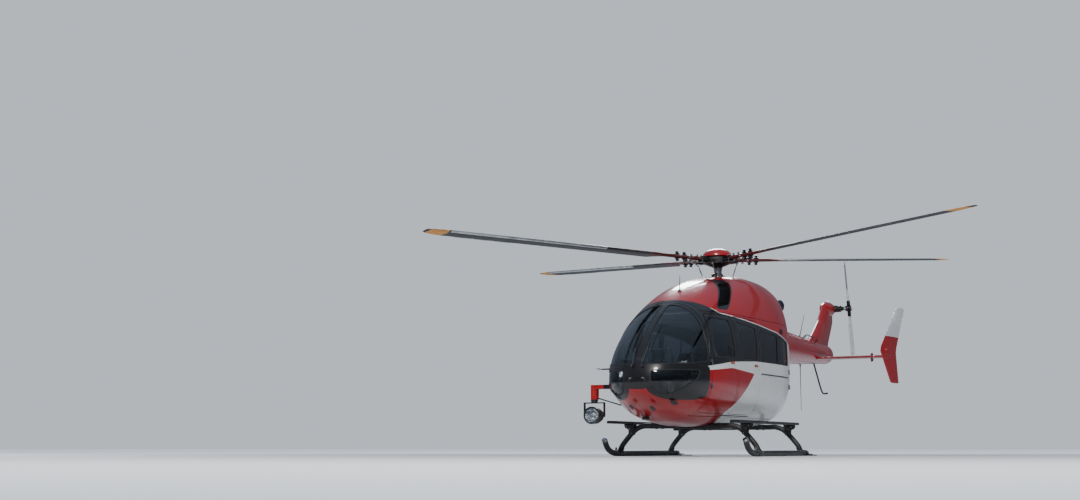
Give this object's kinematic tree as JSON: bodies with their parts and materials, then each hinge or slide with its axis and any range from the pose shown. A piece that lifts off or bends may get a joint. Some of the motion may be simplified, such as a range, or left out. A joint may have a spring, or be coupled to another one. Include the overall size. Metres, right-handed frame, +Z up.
{
  "type": "light twin-engine rescue helicopter",
  "caption": "Light rescue helicopter parked on skids, with a hingeless main rotor, side tail rotor, hinged and sliding cabin doors, clamshell rear doors and a steerable searchlight.",
  "frame": {"origin": "on the ground, below the middle of the bounding box", "axes": "+X forward to the nose, +Y to port, +Z up"},
  "size_m": [11.6274, 9.5448, 3.9525],
  "materials": {
    "body_red": "gloss red paint over composite skins",
    "body_white": "gloss white paint over composite skins",
    "window_tint": "tinted acrylic panes",
    "deck_grey": "matt",
    "floor_grey": "matt",
    "exhaust_steel": "heat-darkened steel",
    "seat_fabric": "woven covers",
    "panel_black": "matt black",
    "gear_black": "satin black paint",
    "arm_red": "gloss red paint",
    "hub_metal": "satin dark grey",
    "mast_steel": "satin",
    "blade_grey": "satin dark grey paint over composite",
    "blade_white": "satin white paint over composite"
  },
  "bodies": {
    "airframe": {"nose_shell": "body_red", "belly_shell": "body_white", "side_frame_left": "body_white", "side_frame_right": "body_white", "engine_cowling": "body_red", "sliding_door_left": "body_white", "sliding_door_right": "body_white", "windscreen_left": "window_tint", "windscreen_right": "window_tint", "chin_window_left": "window_tint", "chin_window_right": "window_tint", "cabin_window_left": "window_tint", "cabin_window_right": "window_tint", "sliding_door_glass_left": "window_tint", "sliding_door_glass_right": "window_tint", "engine_deck": "deck_grey", "main_gearbox": "deck_grey", "exhaust_left": "exhaust_steel", "exhaust_right": "exhaust_steel", "cabin_floor": "floor_grey", "crew_seat_left": "seat_fabric", "crew_seat_right": "seat_fabric", "cabin_seat": "seat_fabric", "stretcher": "seat_fabric", "instrument_panel": "panel_black", "tail_boom": "body_red", "stabiliser": "body_red", "end_plate_left": "body_red", "end_plate_right": "body_red", "tail_fin": "body_red", "tail_bumper": "gear_black", "boom_aerial_top": "panel_black", "boom_aerial_low": "panel_black", "skid_left": "gear_black", "skid_right": "gear_black", "cross_tube_front": "gear_black", "cross_tube_rear": "gear_black", "step_left": "gear_black", "step_right": "gear_black", "searchlight_arm": "arm_red"},
    "main_rotor": {"rotor_mast": "mast_steel", "rotor_head": "hub_metal", "rotor_cap": "body_red", "main_blade_1": "blade_grey", "main_blade_2": "blade_grey", "main_blade_3": "blade_grey", "main_blade_4": "blade_grey"},
    "tail_rotor": {"tail_rotor_hub": "hub_metal", "tail_blade_1": "blade_white", "tail_blade_2": "blade_white"},
    "cockpit_door_port": {"cockpit_door_left": "body_white", "cockpit_door_glass_left": "window_tint"},
    "cockpit_door_starboard": {"cockpit_door_right": "body_white", "cockpit_door_glass_right": "window_tint"},
    "clamshell_port": {"clamshell_door_left": "body_white", "clamshell_glass_left": "window_tint"},
    "clamshell_starboard": {"clamshell_door_right": "body_white", "clamshell_glass_right": "window_tint"},
    "searchlight_pan": {"searchlight_yoke": "hub_metal"},
    "searchlight_tilt": {"searchlight_lamp": "panel_black"}
  },
  "joints": [
    {"name": "main_rotor_spin", "type": "hinge", "parent": "airframe", "child": "main_rotor", "pos_m": [1.03574, 0, 3.24], "axis": [0.0349, 0, 0.9994], "continuous": true},
    {"name": "tail_rotor_spin", "type": "hinge", "parent": "airframe", "child": "tail_rotor", "pos_m": [-5.51426, 0.41, 2.98], "axis": [0, 1, 0], "continuous": true},
    {"name": "cockpit_door_port_hinge", "type": "hinge", "parent": "airframe", "child": "cockpit_door_port", "pos_m": [3.46674, 0.80207, 1.2], "axis": [0, 0, -1], "range_deg": [0, 75]},
    {"name": "cockpit_door_starboard_hinge", "type": "hinge", "parent": "airframe", "child": "cockpit_door_starboard", "pos_m": [3.46674, -0.80207, 1.2], "axis": [0, 0, 1], "range_deg": [0, 75]},
    {"name": "clamshell_port_hinge", "type": "hinge", "parent": "airframe", "child": "clamshell_port", "pos_m": [-0.07026, 0.84432, 1.2], "axis": [0, 0, -1], "range_deg": [0, 100]},
    {"name": "clamshell_starboard_hinge", "type": "hinge", "parent": "airframe", "child": "clamshell_starboard", "pos_m": [-0.07026, -0.84432, 1.2], "axis": [0, 0, 1], "range_deg": [0, 100]},
    {"name": "searchlight_pan_hinge", "type": "hinge", "parent": "airframe", "child": "searchlight_pan", "pos_m": [3.75574, -1, 0.81], "axis": [0, 0, 1], "range_deg": [-110, 110]},
    {"name": "searchlight_tilt_hinge", "type": "hinge", "parent": "searchlight_pan", "child": "searchlight_tilt", "pos_m": [3.75574, -1, 0.615], "axis": [0, 1, 0], "range_deg": [-20, 80]}
  ]
}
